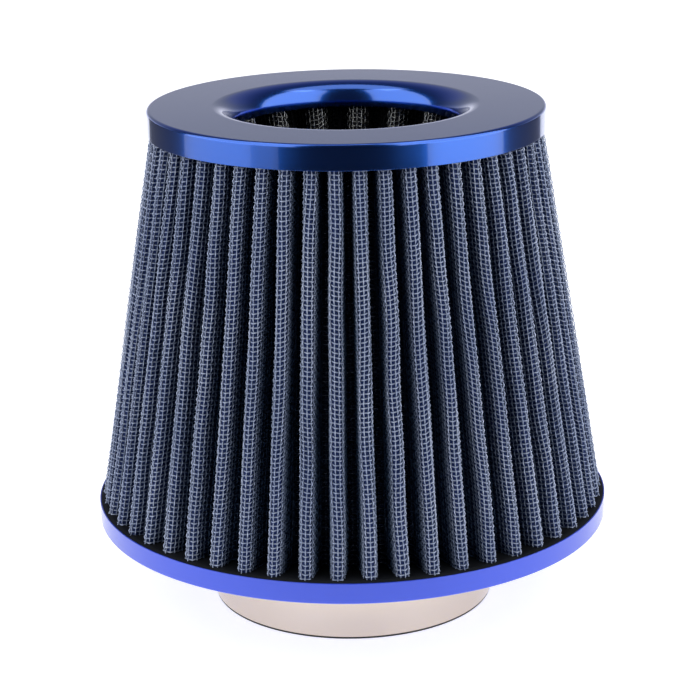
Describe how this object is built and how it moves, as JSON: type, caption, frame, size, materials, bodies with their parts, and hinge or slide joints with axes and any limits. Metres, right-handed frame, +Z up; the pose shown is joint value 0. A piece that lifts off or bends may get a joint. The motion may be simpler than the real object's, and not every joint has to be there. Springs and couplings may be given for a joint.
{
  "type": "cone air filter",
  "caption": "Clamp-on cone air filter with a pleated outer cone, an inverted inner cone fed through a rolled throat in the cap, and a round rubber-lined neck.",
  "frame": {"origin": "centre of the neck's mouth, on the plane that the filter stands on", "axes": "+Z up along the filter's axis, from the neck's mouth to the cap"},
  "size_m": [0.15, 0.15, 0.1468],
  "materials": {
    "blue_metal_cap": "polished, tinted blue under a clear coat",
    "blue_metal_pan": "gloss blue",
    "bright_neck": "polished",
    "black_potting": "cast, satin",
    "black_rubber": "matte moulded",
    "blue_media": "oiled cotton gauze, dark blue",
    "woven_wire": "plain weave wire cloth, satin",
    "clip_steel": "rolled strip",
    "black_cup": "satin black"
  },
  "bodies": {
    "root": {"top_cap": "blue_metal_cap", "top_potting": "black_potting", "outer_element_dirty_side_screen": "woven_wire", "outer_element_media": "blue_media", "outer_element_clean_side_screen": "woven_wire", "outer_seam_clip": "clip_steel", "inner_element_dirty_side_screen": "woven_wire", "inner_element_media": "blue_media", "inner_element_clean_side_screen": "woven_wire", "inner_seam_clip": "clip_steel", "inner_end_cup": "black_cup", "inner_end_potting": "black_potting", "base_pan": "blue_metal_pan", "base_potting": "black_potting", "neck_sleeve": "bright_neck", "neck_liner": "black_rubber"}
  },
  "joints": []
}
